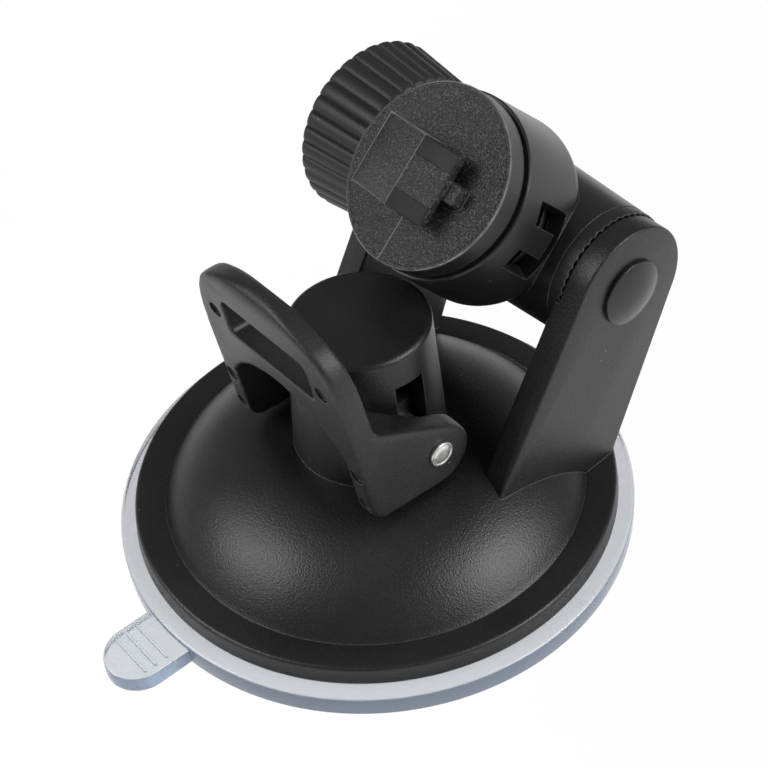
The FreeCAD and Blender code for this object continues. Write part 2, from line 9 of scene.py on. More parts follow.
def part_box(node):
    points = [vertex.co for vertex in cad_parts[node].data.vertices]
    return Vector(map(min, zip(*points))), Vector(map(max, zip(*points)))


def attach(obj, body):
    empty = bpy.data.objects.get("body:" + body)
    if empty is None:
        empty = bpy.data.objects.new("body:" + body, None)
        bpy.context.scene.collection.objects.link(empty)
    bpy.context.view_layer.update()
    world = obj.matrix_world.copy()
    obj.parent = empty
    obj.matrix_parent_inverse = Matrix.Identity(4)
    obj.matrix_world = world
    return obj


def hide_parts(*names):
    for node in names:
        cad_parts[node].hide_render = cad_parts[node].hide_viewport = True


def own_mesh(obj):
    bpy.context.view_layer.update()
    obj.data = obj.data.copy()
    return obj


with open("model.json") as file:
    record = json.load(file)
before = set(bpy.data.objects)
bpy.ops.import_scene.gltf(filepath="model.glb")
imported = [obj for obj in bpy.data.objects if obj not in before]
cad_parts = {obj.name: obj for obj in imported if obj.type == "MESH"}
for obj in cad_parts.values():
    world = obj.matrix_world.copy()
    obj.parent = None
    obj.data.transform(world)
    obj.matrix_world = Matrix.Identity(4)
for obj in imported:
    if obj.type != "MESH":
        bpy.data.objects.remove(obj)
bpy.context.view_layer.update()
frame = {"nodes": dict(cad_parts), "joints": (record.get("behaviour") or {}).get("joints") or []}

# A windscreen suction mount for a dash camera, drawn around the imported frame.
# Lengths are in millimetres unless a comment says otherwise, and become metres when a mesh is made.
MM = 0.001
# In metres: points closer than MERGE are one, and a point that bends a line less than SPARE isn't needed.
MERGE = 2e-7
SPARE = 3e-6
joints = {joint["name"]: joint for joint in frame["joints"]}


def mm_box(node):
    """Lowest and highest corners of a CAD node, in millimetres."""
    low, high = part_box(node)
    return low / MM, high / MM


HINGE = Vector(joints["head_tilt"]["pos_m"]) / MM
PIN = Vector(joints["lever_fold"]["pos_m"]) / MM
HEAD_AXIS = Vector(joints["disc_turn"]["axis"]).normalized()
DISC_CENTRE = Vector(joints["disc_turn"]["pos_m"]) / MM
CUP_LOW, CUP_HIGH = mm_box("suction_cup")
BASE_LOW, BASE_HIGH = mm_box("base_housing")
LEVER_HALF = mm_box("lever")[1].x
KNOB_LOW, KNOB_HIGH = mm_box("knob")
PIN_LOW, PIN_HIGH = mm_box("lever_pin")
CAP_LOW, CAP_HIGH = mm_box("bolt_cap")
RING_LOW, RING_HIGH = mm_box("tooth_ring_right")

# Frames of the two tilted groups: Z along the turning axis.
DISC_FACE = 20.87
HEAD_TURN = Matrix.Rotation(math.atan2(-HEAD_AXIS.y, HEAD_AXIS.z), 4, "X")
TO_HEAD = Matrix.Translation(DISC_CENTRE - DISC_FACE * HEAD_AXIS) @ HEAD_TURN
ALONG_X = Matrix.Rotation(math.pi / 2, 4, "Y")
ON_HINGE = Matrix.Translation((0, HINGE.y, HINGE.z)) @ ALONG_X


# ---------------------------------------------------------------- mesh tools

def add_object(name, verts, faces, place=None):
    """Mesh object from points in millimetres, moved by place first if it is given."""
    matrix = place or Matrix.Identity(4)
    mesh = bpy.data.meshes.new(name)
    mesh.from_pydata([(matrix @ Vector(v)) * MM for v in verts], [], faces)
    obj = bpy.data.objects.new(name, mesh)
    bpy.context.scene.collection.objects.link(obj)
    work = bmesh.new()
    work.from_mesh(mesh)
    bmesh.ops.remove_doubles(work, verts=work.verts, dist=MERGE)
    bmesh.ops.recalc_face_normals(work, faces=work.faces)
    work.to_mesh(mesh)
    work.free()
    return obj


def lathe(name, profile, place=None, segments=160):
    """Closed profile of (radius, height) points turned about Z."""
    verts = []
    faces = []
    count = len(profile)
    for i in range(segments):
        angle = 2 * math.pi * i / segments
        for radius, height in profile:
            verts.append((radius * math.cos(angle), radius * math.sin(angle), height))
    for i in range(segments):
        here = i * count
        there = (i + 1) % segments * count
        for j in range(count):
            k = (j + 1) % count
            ends_on_axis = (profile[j][0] == 0, profile[k][0] == 0)
            if ends_on_axis == (True, True):
                continue
            if ends_on_axis == (True, False):
                faces.append((here + j, there + k, here + k))
            elif ends_on_axis == (False, True):
                faces.append((here + j, there + j, here + k))
            else:
                faces.append((here + j, there + j, there + k, here + k))
    return add_object(name, verts, faces, place)


def prism(name, outline, low, high, axis, place=None):
    """Outline of two-dimensional points extruded along an axis from low to high."""
    slot = "XYZ".index(axis)
    count = len(outline)
    verts = []
    for along in (low, high):
        for point in outline:
            vert = list(point)
            vert.insert(slot, along)
            verts.append(vert)
    faces = [tuple(range(count)), tuple(range(2 * count - 1, count - 1, -1))]
    for i in range(count):
        k = (i + 1) % count
        faces.append((i, k, count + k, count + i))
    return add_object(name, verts, faces, place)


def arc(centre, radius, start_deg, end_deg, steps):
    """Points on an arc, both ends included."""
    points = []
    for i in range(steps + 1):
        angle = math.radians(start_deg + (end_deg - start_deg) * i / steps)
        points.append((centre[0] + radius * math.cos(angle), centre[1] + radius * math.sin(angle)))
    return points


def rounded(corners, steps=6):
    """Outline through (x, y, radius) corners, each turned with an arc of its radius."""
    points = []
    count = len(corners)
    for i, (x, y, radius) in enumerate(corners):
        here = Vector((x, y))
        if radius == 0:
            points.append((x, y))
            continue
        back = (Vector(corners[i - 1][:2]) - here).normalized()
        on = (Vector(corners[(i + 1) % count][:2]) - here).normalized()
        half = back.angle(on) / 2
        reach = radius / math.tan(half)
        centre = here + (back + on).normalized() * radius / math.sin(half)
        start = here + back * reach - centre
        end = here + on * reach - centre
        turn = start.angle_signed(end)
        for k in range(steps + 1):
            spoke = start.copy()
            spoke.rotate(Matrix.Rotation(-turn * k / steps, 2))
            points.append(tuple(centre + spoke))
    return points


def settle(obj):
    """Apply every modifier."""
    graph = bpy.context.evaluated_depsgraph_get()
    mesh = bpy.data.meshes.new_from_object(obj.evaluated_get(graph))
    obj.modifiers.clear()
    obj.data = mesh
    return obj


def soften(obj, width, segments=3, angle=35):
    """Round the sharp edges by width millimetres."""
    bevel = obj.modifiers.new("bevel", "BEVEL")
    bevel.width = width * MM
    bevel.segments = segments
    bevel.limit_method = "ANGLE"
    bevel.angle_limit = math.radians(angle)
    return settle(obj)


def combine(obj, others, operation):
    """Boolean of obj with each of the others, which are used up."""
    for other in others:
        boolean = obj.modifiers.new("boolean", "BOOLEAN")
        boolean.operation = operation
        boolean.solver = "EXACT"
        boolean.object = other
        settle(obj)
        bpy.data.objects.remove(other)
    return obj


def drop_spare_points(work):
    """Dissolve points with two edges in a straight line: triangles there would be loose slivers."""
    spare = []
    for vert in work.verts:
        if len(vert.link_edges) == 2:
            start, end = (edge.other_vert(vert).co for edge in vert.link_edges)
            if (vert.co - start).cross((end - start).normalized()).length < SPARE:
                spare.append(vert)
    bmesh.ops.dissolve_verts(work, verts=spare)


def shade(obj, angle=32):
    """Smooth shading, with edges sharper than the angle left crisp."""
    limit = math.radians(angle)
    work = bmesh.new()
    work.from_mesh(obj.data)
    bmesh.ops.remove_doubles(work, verts=work.verts, dist=MERGE)
    bmesh.ops.dissolve_degenerate(work, edges=work.edges, dist=MERGE)
    drop_spare_points(work)
    for face in work.faces:
        face.smooth = True
    for edge in work.edges:
        edge.smooth = len(edge.link_faces) == 2 and edge.calc_face_angle() < limit
    work.to_mesh(obj.data)
    work.free()
    return obj


def remesh(obj, voxel, passes):
    """Even skin over a solid, then smoothed, which rounds its edges as a moulding's are."""
    skin = obj.modifiers.new("skin", "REMESH")
    skin.mode = "VOXEL"
    skin.voxel_size = voxel * MM
    relax = obj.modifiers.new("relax", "SMOOTH")
    relax.factor = 0.5
    relax.iterations = passes
    return settle(obj)


def wear(obj, material):
    """Make a material the only one on an object."""
    obj.data.materials.clear()
    obj.data.materials.append(material)


def finish_piece(obj, body, nodes, material):
    """Give a piece its material and its body, and hide the CAD nodes it stands for."""
    wear(obj, material)
    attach(obj, body)
    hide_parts(*nodes)
    return obj


# ---------------------------------------------------------------- materials

class Graph:
    """Short way to lay out a material's nodes."""

    def __init__(self, name):
        self.material = bpy.data.materials.new(name)
        self.material.use_nodes = True
        self.tree = self.material.node_tree
        self.shader = self.tree.nodes["Principled BSDF"]
        self.coords = self.add("ShaderNodeTexCoord").outputs["Object"]

    def add(self, kind, **settings):
        """New node of a kind, with its settings."""
        node = self.tree.nodes.new(kind)
        for key, value in settings.items():
            setattr(node, key, value)
        return node

    def put(self, value, socket):
        """Link an output to a socket, or set the socket to a plain value."""
        if isinstance(value, bpy.types.NodeSocket):
            self.tree.links.new(value, socket)
        else:
            socket.default_value = value

    def noise(self, per_mm, detail=2.0, roughness=0.5, coords=None):
        """Cloudy value from 0 to 1, with about per_mm clouds in a millimetre."""
        node = self.add("ShaderNodeTexNoise")
        self.put(coords or self.coords, node.inputs["Vector"])
        node.inputs["Scale"].default_value = per_mm / MM
        node.inputs["Detail"].default_value = detail
        node.inputs["Roughness"].default_value = roughness
        return node.outputs["Fac"]

    def cells(self, per_mm):
        """Distance to the nearest of some scattered points, of which per_mm fall in a millimetre."""
        node = self.add("ShaderNodeTexVoronoi", feature="F1")
        self.put(self.coords, node.inputs["Vector"])
        node.inputs["Scale"].default_value = per_mm / MM
        return node.outputs["Distance"]

    def stretch(self, x, y, z):
        """Coordinates scaled along each axis, for marks that run one way."""
        node = self.add("ShaderNodeMapping")
        self.put(self.coords, node.inputs["Vector"])
        node.inputs["Scale"].default_value = (x, y, z)
        return node.outputs["Vector"]

    def remap(self, value, low, high, to_low=0.0, to_high=1.0):
        """Value taken from one range to another, and held at its ends."""
        node = self.add("ShaderNodeMapRange", clamp=True)
        self.put(value, node.inputs["Value"])
        for key, number in zip(("From Min", "From Max", "To Min", "To Max"), (low, high, to_low, to_high)):
            node.inputs[key].default_value = number
        return node.outputs["Result"]

    def math(self, operation, a, b=0.0):
        """One sum on one or two values."""
        node = self.add("ShaderNodeMath", operation=operation)
        self.put(a, node.inputs[0])
        self.put(b, node.inputs[1])
        return node.outputs["Value"]

    def mix(self, share, a, b):
        """Color a, turning into color b as share goes from 0 to 1."""
        node = self.add("ShaderNodeMix", data_type="RGBA")
        # The node's sockets for colors are 6 and 7 on the way in, and 2 on the way out.
        self.put(share, node.inputs[0])
        self.put(a, node.inputs[6])
        self.put(b, node.inputs[7])
        return node.outputs[2]

    def along(self, axis, origin):
        """Distance in millimetres from a point, along a direction."""
        offset = self.add("ShaderNodeVectorMath", operation="SUBTRACT")
        self.put(self.coords, offset.inputs[0])
        self.put(origin * MM, offset.inputs[1])
        dot = self.add("ShaderNodeVectorMath", operation="DOT_PRODUCT")
        self.put(offset.outputs["Vector"], dot.inputs[0])
        self.put(axis / MM, dot.inputs[1])
        return dot.outputs["Value"]

    def near(self, value, centre, width):
        """1 where a value is within half a width of the centre, fading to 0 outside."""
        gap = self.math("ABSOLUTE", self.math("SUBTRACT", value, centre))
        return self.remap(gap, width * 0.75, width * 0.35)

    def both(self, *masks):
        """Product of masks: 1 only where every one of them is."""
        result = masks[0]
        for mask in masks[1:]:
            result = self.math("MULTIPLY", result, mask)
        return result

    def rounding(self, radius):
        """Normal of the surface as if its edges were rounded."""
        bevel = self.add("ShaderNodeBevel", samples=6)
        bevel.inputs["Radius"].default_value = radius * MM
        return bevel.outputs["Normal"]

    def edges(self, rounding):
        """How far a rounded normal is from the surface's own: 0 on flats, 1 on edges."""
        dot = self.add("ShaderNodeVectorMath", operation="DOT_PRODUCT")
        self.put(rounding, dot.inputs[0])
        self.put(self.add("ShaderNodeNewGeometry").outputs["Normal"], dot.inputs[1])
        return self.remap(dot.outputs["Value"], 0.995, 0.9)

    def bump(self, height, depth, normal=None):
        """Normal that height raises by depth millimetres, on top of another normal if it is given."""
        node = self.add("ShaderNodeBump")
        self.put(height, node.inputs["Height"])
        node.inputs["Distance"].default_value = depth * MM
        if normal is not None:
            self.put(normal, node.inputs["Normal"])
        return node.outputs["Normal"]


def grey(level, warm=0.0):
    """Slightly cool grey, or a warmer one."""
    return (level + warm, level * 1.02, level * 1.06 - warm * 0.5, 1.0)


# Tones over the black: edges partly worn and partly a painted highlight, frosted grain tips, dust, and pale
# lines that are a knit line and painted edge highlights.
WORN_EDGE_AND_HIGHLIGHT = grey(0.2, 0.004)
FROSTED = grey(0.17)
DUST = grey(0.6)
KNIT_LINE_AND_EDGE_HIGHLIGHT = grey(0.3)


def foot_marks(g):
    """Masks for the grained face, the foot's smooth corner patches, and the pale lines.

    The lines are the face's knit line, and painted highlights along the foot's crease and outline edges and
    on the face's raised rim."""
    turned = TO_HEAD.to_3x3()
    lengthwise, crosswise, height = (g.along(turned.col[i], TO_HEAD.translation) for i in range(3))
    from_middle = g.math("ABSOLUTE", g.math("SUBTRACT", crosswise, FOOT_MIDDLE[1]))
    on_face = g.remap(height, DISC_FACE - MARK_FADE, DISC_FACE - MARK_FADE / 2)
    on_top = g.remap(height, FOOT_TOP - MARK_FADE * 1.5, FOOT_TOP - MARK_FADE)
    past_crease = g.remap(lengthwise, FOOT_CREASE, FOOT_CREASE + MARK_FADE)
    patch = g.both(on_top, past_crease, g.remap(from_middle, PATCH_START, PATCH_START + MARK_FADE))
    above_face = g.remap(height, DISC_FACE + CREASE_RISE, DISC_FACE + CREASE_RISE + MARK_FADE)
    # A pale line on the crease edge: a painted highlight.
    crease = g.both(g.near(lengthwise, FOOT_CREASE, CREASE_WIDTH), above_face)
    past_foot = g.remap(crosswise, KNIT_START, KNIT_START - MARK_FADE)
    knit = g.both(g.near(lengthwise, KNIT_PLACE, KNIT_WIDTH), past_foot, on_face)
    from_centre = g.math("ABSOLUTE", g.math("SUBTRACT", lengthwise, FOOT_MIDDLE[0]))
    past_end = g.math("SUBTRACT", from_centre, FOOT_HALF[0])
    past_side = g.math("SUBTRACT", from_middle, FOOT_HALF[1])
    on_ramp = g.remap(lengthwise, FOOT_CREASE + MARK_FADE, FOOT_CREASE)
    # A pale line on the foot's outline edge: a painted highlight.
    outline = g.both(g.near(g.math("MAXIMUM", past_end, past_side), 0.0, OUTLINE_WIDTH), on_ramp)
    squares = (g.math("MULTIPLY", way, way) for way in (lengthwise, crosswise))
    radius = g.math("SQRT", g.math("ADD", *squares))
    patchy = g.remap(g.noise(0.5, 3.0), 0.35, 0.65, 0.35, 1.0)
    # A pale line on the face's raised rim: a painted highlight, broken into patches.
    rim = g.both(g.near(radius, DISC_R - RIM_INSET, RIM_WIDTH), on_face, patchy)
    total = crease
    for line in (knit, g.both(outline, patchy), rim):
        total = g.math("ADD", total, line)
    grained = g.both(on_face, g.remap(patch, 0.0, 1.0, 1.0, 0.0))
    return grained, patch, total


def black_plastic(name, grain_per_mm, grain_depth, roughness, level=0.014, wear=0.3, scratches=0.0,
                  edge=0.16, bloom=0.0, marks=None):
    """Moulded black plastic: grain, cloudy sheen, paler edges that are partly worn and partly a painted
    highlight, and a little dust.
    """
    g = Graph(name)
    rounding = g.rounding(edge)
    cloud = g.noise(0.12, 3.0)
    fine = g.math("MULTIPLY", g.noise(grain_per_mm * 2.3, 1.0), 0.5)
    height = g.math("ADD", g.noise(grain_per_mm, 1.0), fine)
    base = g.mix(g.remap(cloud, 0.35, 0.65), grey(level * 0.85), grey(level * 1.2, 0.0006))
    scuff_and_highlight = g.remap(g.noise(2.2, 4.0, 0.7), 0.38, 0.6, 0.25, 1.0)
    # Paler edges: partly rubbed wear, partly a painted highlight along the edges, as strong as wear says.
    color = g.mix(g.both(g.edges(rounding), scuff_and_highlight, wear), base, WORN_EDGE_AND_HIGHLIGHT)
    frost = g.both(g.remap(height, 0.8, 0.92), bloom)
    if marks:
        grained, patch, line = marks(g)
        height = g.both(height, g.remap(grained, 0.0, 1.0, 0.2, 1.0))
        frost = g.both(frost, grained)
    color = g.mix(frost, color, FROSTED)
    speck = g.both(g.remap(g.cells(0.5), 0.05, 0.03), g.remap(g.noise(0.3), 0.56, 0.62, 0.0, 0.5))
    color = g.mix(speck, color, DUST)
    rough = g.remap(cloud, 0.3, 0.7, roughness - 0.035, roughness + 0.035)
    if scratches:
        streak = g.noise(0.5, 5.0, 0.75, g.stretch(0.35, 4.0, 1.2))
        rough = g.math("ADD", rough, g.remap(streak, 0.55, 0.75, 0.0, scratches))
    if marks:
        rough = g.math("ADD", rough, g.both(patch, 0.3))
        color = g.mix(patch, color, grey(level * 0.8))
        # Pale lines: the real knit line, and painted highlights on the crease, outline and rim edges.
        color = g.mix(g.both(line, 0.8), color, KNIT_LINE_AND_EDGE_HIGHLIGHT)
    g.put(color, g.shader.inputs["Base Color"])
    g.put(rough, g.shader.inputs["Roughness"])
    g.put(g.bump(height, grain_depth, rounding), g.shader.inputs["Normal"])
    g.shader.inputs["IOR"].default_value = 1.5
    return g.material


def clear_vinyl():
    """Soft clear vinyl, slightly milky, with a blue-grey tint in its volume; its colour is painted pale on
    faces that look up, a painted top light, and blue-grey on faces that look sideways.
    """
    g = Graph("clear_vinyl")
    facing = g.add("ShaderNodeSeparateXYZ")
    g.put(g.add("ShaderNodeNewGeometry").outputs["Normal"], facing.inputs["Vector"])
    # Painted top light: faces that look up are painted pale, faces that look sideways blue-grey.
    upright = g.remap(g.math("ABSOLUTE", facing.outputs["Z"]), 0.35, 0.9)
    g.put(g.mix(upright, (0.5, 0.62, 0.8, 1.0), (0.84, 0.85, 0.86, 1.0)), g.shader.inputs["Base Color"])
    g.shader.inputs["Transmission Weight"].default_value = 0.72
    g.shader.inputs["IOR"].default_value = 1.47
    cloud = g.noise(0.25, 3.0)
    g.put(g.remap(cloud, 0.3, 0.7, 0.12, 0.24), g.shader.inputs["Roughness"])
    g.put(g.bump(g.noise(0.8, 2.0), 0.02), g.shader.inputs["Normal"])
    volume = g.add("ShaderNodeVolumeAbsorption")
    volume.inputs["Color"].default_value = (0.5, 0.68, 0.9, 1.0)
    volume.inputs["Density"].default_value = 40.0
    g.tree.links.new(volume.outputs["Volume"], g.tree.nodes["Material Output"].inputs["Volume"])
    return g.material


def metal(name, color, roughness):
    """Plain metal with faint tool marks and a little tarnish."""
    g = Graph(name)
    g.shader.inputs["Metallic"].default_value = 1.0
    tarnish = g.noise(0.7, 4.0)
    dull = tuple(channel * 0.72 for channel in color)
    g.put(g.mix(g.remap(tarnish, 0.4, 0.7), (*color, 1.0), (*dull, 1.0)), g.shader.inputs["Base Color"])
    marks = g.noise(2.5, 3.0, 0.6)
    g.put(g.remap(marks, 0.3, 0.7, roughness - 0.08, roughness + 0.1), g.shader.inputs["Roughness"])
    g.put(g.bump(marks, 0.012, g.rounding(0.1)), g.shader.inputs["Normal"])
    return g.material


def plain_plastic(name, color, roughness):
    """Unpainted plastic for the hidden parts, with faint flow marks."""
    g = Graph(name)
    flow = g.noise(0.3, 4.0, 0.6)
    dark = tuple(channel * 0.82 for channel in color)
    g.put(g.mix(g.remap(flow, 0.35, 0.65), (*color, 1.0), (*dark, 1.0)), g.shader.inputs["Base Color"])
    g.put(g.remap(flow, 0.3, 0.7, roughness - 0.06, roughness + 0.06), g.shader.inputs["Roughness"])
    g.put(g.bump(g.noise(3.0), 0.006), g.shader.inputs["Normal"])
    return g.material


# The camera foot, in the head's frame: its ends lie along X and its sides along Y.
DISC_R = 11.3
FOOT_TOP = DISC_FACE + 3.0
FOOT_LIP = DISC_FACE + 1.65
FOOT_ENDS = (-9.3, 5.1)
FOOT_SIDES = (-5.2, 3.95)
FOOT_CREASE = -0.75
FOOT_MIDDLE = (sum(FOOT_ENDS) / 2, sum(FOOT_SIDES) / 2)
FOOT_HALF = ((FOOT_ENDS[1] - FOOT_ENDS[0]) / 2, (FOOT_SIDES[1] - FOOT_SIDES[0]) / 2)

# The marks on the foot and face. PATCH_START is measured from the foot's middle line.
MARK_FADE = 0.1
PATCH_START = 2.2
CREASE_RISE = 1.5
CREASE_WIDTH = 0.09
KNIT_PLACE = 0.15
KNIT_START = -5.3
KNIT_WIDTH = 0.12
OUTLINE_WIDTH = 0.16
RIM_INSET = 0.06
RIM_WIDTH = 0.2

# Each plastic's grain per millimetre, its depth in millimetres and the roughness come first.
# wear sets how pale the edges are painted: partly worn edges, partly a painted edge highlight.
DOME = black_plastic("dome_grain", 4.0, 0.034, 0.34, level=0.010, wear=0.6, bloom=0.04)
LEVER = black_plastic("lever_satin", 3.6, 0.026, 0.42, level=0.013, wear=0.5, scratches=0.12, bloom=0.07)
KNOB = black_plastic("knob_satin", 3.0, 0.02, 0.52, level=0.014, wear=0.4)
SHELL = black_plastic("shell_gloss", 2.6, 0.005, 0.31, level=0.012, wear=0.45)
FACE = black_plastic("face_grain", 4.2, 0.13, 0.32, level=0.010, wear=1.0, edge=0.22, bloom=0.55,
                     marks=foot_marks)
CAP = black_plastic("cap_gloss", 1.5, 0.01, 0.24, level=0.014, wear=0.4, scratches=0.15)
RING = black_plastic("ring_satin", 2.5, 0.01, 0.4, level=0.012, wear=1.0)
RUBBER = black_plastic("soft_rubber", 3.0, 0.01, 0.7, level=0.008, wear=0.1)
VINYL = clear_vinyl()
STEEL = metal("zinc_steel", (0.88, 0.88, 0.85), 0.36)
SPRING = metal("spring_steel", (0.16, 0.16, 0.165), 0.42)
BRASS = metal("brass", (0.72, 0.53, 0.26), 0.32)
ACETAL = plain_plastic("acetal", (0.72, 0.71, 0.66), 0.45)


# ---------------------------------------------------------------- base housing

FLANGE_R = BASE_HIGH.x
FLANGE_BOTTOM = BASE_LOW.z
FLANGE_TOP = 5.59
FLANGE_INNER_R = 25.0
BAND_R = 26.8
BAND_Z = 5.28
DOME_R = 20.9
DOME_CENTRE = (10.26, -7.48)
DOME_WALL = 2.2
POST_FOOT_R = 9.65
POST_TOP_R = 8.72
POST_TOP = 32.2
POST_BORE_R = 6.5
POST_CEILING = 30.7
ARM_INNER_X = 14.9
ARM_OUTER_X = 18.6
ARM_TOP_R = 8.5
ARM_FRONT_FOOT = (2.4, 7.43)
ARM_REAR_FOOT = (23.4, 3.8)
ARM_SEAT_R = 8.95
ARM_SEAT_X = 15.7
WINDOW_HALF = 2.05
WINDOW_Z = (17.3, 27.9)
BOLT_HOLE_R = 2.05
HEX_FLATS = 7.1
HEX_DEPTH = 2.1
# A cutter's length to either side.
REACH = 25.0


def dome_z(r, wall=0.0):
    """Height of the dome at a radius, or of the same dome with a wall taken off."""
    return DOME_CENTRE[1] + math.sqrt((DOME_R - wall) ** 2 - (r - DOME_CENTRE[0]) ** 2)


def dome_arc(start_r, end_r, wall, steps):
    """Points along the dome's arc between two radii, or along its underside."""
    points = []
    for i in range(steps + 1):
        r = start_r + (end_r - start_r) * i / steps
        points.append((r, dome_z(r, wall)))
    return points


def base_profile():
    """Half section of flange, dome and hollow post."""
    flange_round = 0.55
    post_round = 0.8
    edge = arc((FLANGE_R - 0.75, FLANGE_TOP - flange_round), flange_round, -5, 88, 6)
    post_edge = arc((POST_TOP_R - post_round, POST_TOP - post_round), post_round, 3, 90, 8)
    return (
        [(FLANGE_INNER_R, FLANGE_BOTTOM), (FLANGE_R - 0.3, FLANGE_BOTTOM), (FLANGE_R, FLANGE_BOTTOM + 0.3)]
        + edge
        + [(BAND_R + 0.25, BAND_Z + 0.02), (BAND_R + 0.12, BAND_Z - 0.08)]
        + dome_arc(BAND_R, POST_FOOT_R + 0.15, 0.0, 36)
        + [(POST_FOOT_R, dome_z(POST_FOOT_R) + 0.02)]
        + post_edge
        + [(0.0, POST_TOP), (0.0, POST_CEILING), (POST_BORE_R, POST_CEILING)]
        + dome_arc(POST_BORE_R, FLANGE_INNER_R, DOME_WALL, 16)
    )


def arm_outline():
    """Side view of an arm: two straight edges running into a round top."""
    def touch(foot, side):
        """Angle at which a straight edge from a foot meets the round top."""
        run = math.dist(foot, (HINGE.y, HINGE.z))
        angle = math.atan2(foot[1] - HINGE.z, foot[0] - HINGE.y)
        return math.degrees(angle - side * math.acos(ARM_TOP_R / run))
    front = touch(ARM_FRONT_FOOT, 1) % 360
    rear = touch(ARM_REAR_FOOT, -1) % 360
    if rear > front:
        rear -= 360
    return [ARM_FRONT_FOOT] + arc((HINGE.y, HINGE.z), ARM_TOP_R, front, rear, 40) + [ARM_REAR_FOOT]


def hexagon(flats):
    """Hexagon about the hinge, as wide across its flats as a spanner."""
    radius = flats / math.sqrt(3)
    points = []
    for i in range(6):
        angle = math.radians(60 * i)
        points.append((HINGE.y + radius * math.cos(angle), HINGE.z + radius * math.sin(angle)))
    return points


def rod(name, radius, low, high, place, segments):
    """Plain cutter for a round hole or recess."""
    return lathe(name, [(0.0, low), (radius, low), (radius, high), (0.0, high)], place, segments)


def build_base():
    """Flange, dome, post and arms in one moulding."""
    shell = lathe("base_housing_shell", base_profile(), segments=200)
    hollow = [(0.0, FLANGE_BOTTOM - 1), (FLANGE_INNER_R, FLANGE_BOTTOM - 1)]
    hollow += dome_arc(FLANGE_INNER_R, 0.5, DOME_WALL, 20)
    hollow.append((0.0, hollow[-1][1]))
    arms = []
    for side in (-1, 1):
        low, high = sorted((side * ARM_INNER_X, side * ARM_OUTER_X))
        arm = soften(prism("arm", arm_outline(), low, high, "X"), 0.3)
        arms.append(combine(arm, [lathe("hollow", hollow, segments=96)], "DIFFERENCE"))
    combine(shell, arms, "UNION")
    seats = []
    for low, high in ((-ARM_SEAT_X, -ARM_INNER_X + 1), (ARM_INNER_X - 1, ARM_SEAT_X)):
        seats.append(rod("seat", ARM_SEAT_R, low, high, ON_HINGE, 96))
    left, right = -WINDOW_HALF, WINDOW_HALF
    bottom, top = WINDOW_Z
    window = prism("window", [(left, bottom), (right, bottom), (right, top), (left, top)], -REACH, REACH, "X")
    hole = rod("hole", BOLT_HOLE_R, -REACH, REACH, ON_HINGE, 48)
    recess = prism("recess", hexagon(HEX_FLATS), ARM_OUTER_X - HEX_DEPTH, ARM_OUTER_X + 1, "X")
    combine(shell, [window, hole, recess] + seats, "DIFFERENCE")
    shade(shell)
    finish_piece(shell, "base", ["base_housing"], DOME)


build_base()


# ---------------------------------------------------------------- suction cup

CUP_RIM_TOP = 2.95
CUP_RIM_INNER_R = 24.5
CUP_MIDDLE_TOP = 2.0
CUP_ROUND = 0.45
TAB_HALF = 4.2
TAB_TOP = 2.4
TAB_ROOT_Y = -31.0
RIB_ROWS = (-38.2, -36.8, -35.2)
RIB_HALF_LENGTH = 3.3
RIB_HALF_WIDTH = 0.17
RIB_TOP = 2.6


def build_cup():
    """Clear disc with a thick rounded rim, a thin middle and a ribbed pull tab."""
    radius = CUP_HIGH.x
    profile = (
        [(0.0, 0.0), (radius - 0.5, 0.0)]
        + arc((radius - 0.3, 0.3), 0.3, -90, 0, 4)
        + arc((radius - CUP_ROUND, CUP_RIM_TOP - CUP_ROUND), CUP_ROUND, 0, 90, 6)
        + [(CUP_RIM_INNER_R + 0.4, CUP_RIM_TOP), (CUP_RIM_INNER_R, CUP_RIM_TOP - 0.4)]
        + [(CUP_RIM_INNER_R, CUP_MIDDLE_TOP), (0.0, CUP_MIDDLE_TOP)]
    )
    cup = lathe("suction_cup_clear", profile, segments=220)
    end_y = CUP_LOW.y + TAB_HALF
    outline = [(TAB_HALF, TAB_ROOT_Y), (-TAB_HALF, TAB_ROOT_Y)] + arc((0.0, end_y), TAB_HALF, 180, 360, 28)
    tab = soften(prism("tab", outline, 0.0, TAB_TOP, "Z"), 0.3)
    combine(cup, [tab], "UNION")
    ribs = []
    for y in RIB_ROWS:
        near, far = y - RIB_HALF_WIDTH, y + RIB_HALF_WIDTH
        left, right = -RIB_HALF_LENGTH, RIB_HALF_LENGTH
        rib = prism("rib", [(left, near), (right, near), (right, far), (left, far)], 1.5, RIB_TOP, "Z")
        ribs.append(soften(rib, 0.12))
    combine(cup, ribs, "UNION")
    shade(cup)
    finish_piece(cup, "base", ["suction_cup"], VINYL)


build_cup()


# ---------------------------------------------------------------- lever

CHEEK_END = (0.25, 18.45)
CHEEK_END_R = 4.4
CHEEK_SLOPE = 29.2
PLATE_LOW = (-10.09, 14.75)
PLATE_TOP = (-14.14, 43.9)
PLATE_LEAN = (PLATE_TOP[0] - PLATE_LOW[0]) / (PLATE_TOP[1] - PLATE_LOW[1])
PLATE_THICK = 3.15
SHOULDER_Z = 28.0
SHOULDER_MIDDLE = (12.75, 37.0)
CORNER = (9.6, 41.6)
LEVER_INNER = 10.55
LEVER_HOLE_R = 1.55
ARCH_SPRING = 24.0
ARCH_TOP = 30.0
SLOT_HALF = 7.75
SLOT_Z = (32.8, 38.4)
DIMPLES = ((11.9, 17.1), (11.9, 22.5), (9.8, 35.4))
DIMPLE_R = 1.05
DIMPLE_DEPTH = 0.38
# In degrees: a right angle and the plate's lean.
DIMPLE_TILT = 98
# Voxel size and smoothing passes, before the openings are cut and after.
FIRST_SKIN = (0.25, 34)
LAST_SKIN = (0.22, 6)


def plate_y(z):
    """Where the lever's leaning front face lies at a height."""
    return PLATE_LOW[0] + PLATE_LEAN * (z - PLATE_LOW[1])


